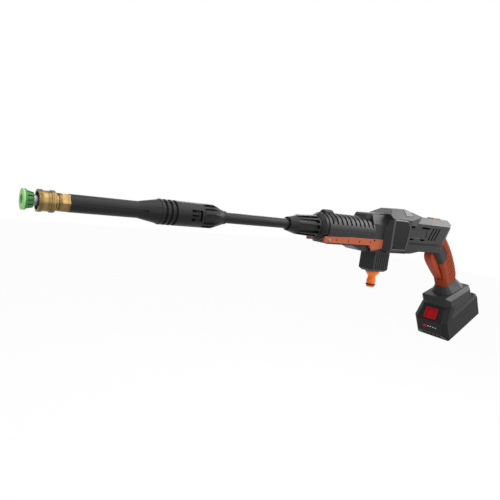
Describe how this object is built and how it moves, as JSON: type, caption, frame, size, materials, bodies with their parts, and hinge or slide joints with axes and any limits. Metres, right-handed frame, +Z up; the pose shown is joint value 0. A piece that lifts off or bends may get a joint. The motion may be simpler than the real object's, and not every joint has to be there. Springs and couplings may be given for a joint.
{
  "type": "cordless pressure washer",
  "caption": "Cordless pressure washer gun with pump body, raked grip and trigger, slide-on battery, hose nipple and a long twist-joined lance with quick coupler and fan nozzle.",
  "frame": {"origin": "centre of the hose nipple's mouth, under the gun", "axes": "+X to the rear along the lance and barrel, +Y to the gun's right, +Z up; the hose leaves the nipple along -Z"},
  "size_m": [0.9173, 0.074, 0.2517],
  "materials": {
    "case_plastic": "satin",
    "lance_plastic": "satin",
    "panel_plastic": "satin",
    "grip_rubber": "matte",
    "rail_plastic": "satin",
    "nipple_plastic": "gloss",
    "button_red": "gloss",
    "nozzle_green": "satin",
    "battery_plastic": "satin",
    "brass": "polished",
    "steel": "brushed",
    "alloy": "cast",
    "magnet": "matte",
    "black_rubber": "matte",
    "board": "satin",
    "cell_wrap": "gloss",
    "pale_plastic": "satin",
    "lamp_lens": "gloss"
  },
  "bodies": {
    "gun": {"case_left": "case_plastic", "case_right": "case_plastic", "side_panel": "panel_plastic", "grip_cover": "grip_rubber", "rear_pad": "grip_rubber", "trigger_pin": "steel", "trigger_switch": "case_plastic", "trigger_spring": "steel", "gun_collar": "lance_plastic", "lance_socket": "brass", "outlet_tube": "steel", "pump_head": "alloy", "pump_pistons": "steel", "motor_can": "steel", "motor_magnets": "magnet", "motor_bracket": "alloy", "motor_end_cap": "alloy", "motor_bearings": "steel", "control_board": "board", "rail_left": "rail_plastic", "rail_right": "rail_plastic", "inlet_block": "case_plastic", "hose_nipple": "nipple_plastic", "nipple_ring": "black_rubber", "inlet_filter": "pale_plastic", "inlet_tube": "pale_plastic", "battery_foot": "case_plastic", "terminal_block": "case_plastic"},
    "lance": {"rear_collar": "lance_plastic", "rear_lance_seal": "black_rubber", "extension_tube": "lance_plastic", "front_collar": "lance_plastic", "front_lance_seal": "black_rubber"},
    "front_lance": {"front_sheath": "lance_plastic", "front_pipe": "steel", "coupler_body": "brass", "coupler_balls": "steel", "coupler_seal": "black_rubber", "coupler_spring": "steel"},
    "sleeve": {"coupler_sleeve": "brass"},
    "nozzle": {"nozzle_skirt": "nozzle_green", "nozzle_plug": "steel"},
    "trigger": {"trigger": "grip_rubber"},
    "drive": {"motor_rotor": "steel", "swash_plate": "steel", "cooling_fan": "pale_plastic"},
    "release": {"release_button": "lance_plastic"},
    "mode": {"mode_button": "rail_plastic"},
    "battery": {"battery_lower": "battery_plastic", "battery_upper": "battery_plastic", "battery_cells": "cell_wrap", "battery_board": "board", "charge_lamps": "lamp_lens", "lamp_board": "board"},
    "battery_catch": {"battery_release": "button_red"},
    "charge": {"charge_button": "button_red"}
  },
  "joints": [
    {"name": "trigger_pull", "type": "hinge", "parent": "gun", "child": "trigger", "pos_m": [0.21435, 0, 0.02475], "axis": [0, 1, 0], "range_deg": [0, 8], "stiffness_Nm_per_rad": 4, "springref_deg": -2.86},
    {"name": "lance_twist", "type": "hinge", "parent": "gun", "child": "lance", "pos_m": [-0.158, 0, 0.098], "axis": [1, 0, 0], "range_deg": [0, 60]},
    {"name": "front_lance_twist", "type": "hinge", "parent": "lance", "child": "front_lance", "pos_m": [-0.368, 0, 0.098], "axis": [1, 0, 0], "range_deg": [0, 60]},
    {"name": "sleeve_pull", "type": "slide", "parent": "front_lance", "child": "sleeve", "axis": [1, 0, 0], "range_m": [0, 0.004], "stiffness_N_per_m": 900, "springref_m": -0.004, "deforming": ["coupler_spring"]},
    {"name": "nozzle_out", "type": "slide", "parent": "front_lance", "child": "nozzle", "axis": [-1, 0, 0], "range_m": [0, 0.04]},
    {"name": "release_press", "type": "slide", "parent": "gun", "child": "release", "axis": [0, 0, -1], "range_m": [0, 0.0022], "stiffness_N_per_m": 900, "springref_m": -0.003},
    {"name": "mode_press", "type": "slide", "parent": "gun", "child": "mode", "axis": [0, 0, -1], "range_m": [0, 0.0014], "stiffness_N_per_m": 1200, "springref_m": -0.002},
    {"name": "battery_slide", "type": "slide", "parent": "gun", "child": "battery", "axis": [-0.8805, 0, -0.4741], "range_m": [0, 0.09]},
    {"name": "battery_release_press", "type": "slide", "parent": "battery", "child": "battery_catch", "axis": [0.9364, 0, -0.351], "range_m": [0, 0.0025], "stiffness_N_per_m": 1500, "springref_m": -0.003},
    {"name": "charge_press", "type": "slide", "parent": "battery", "child": "charge", "axis": [0.8805, 0, 0.4741], "range_m": [0, 0.0008], "stiffness_N_per_m": 800, "springref_m": -0.002},
    {"name": "drive_spin", "type": "hinge", "parent": "gun", "child": "drive", "pos_m": [0, 0, 0.098], "axis": [1, 0, 0], "continuous": true}
  ]
}
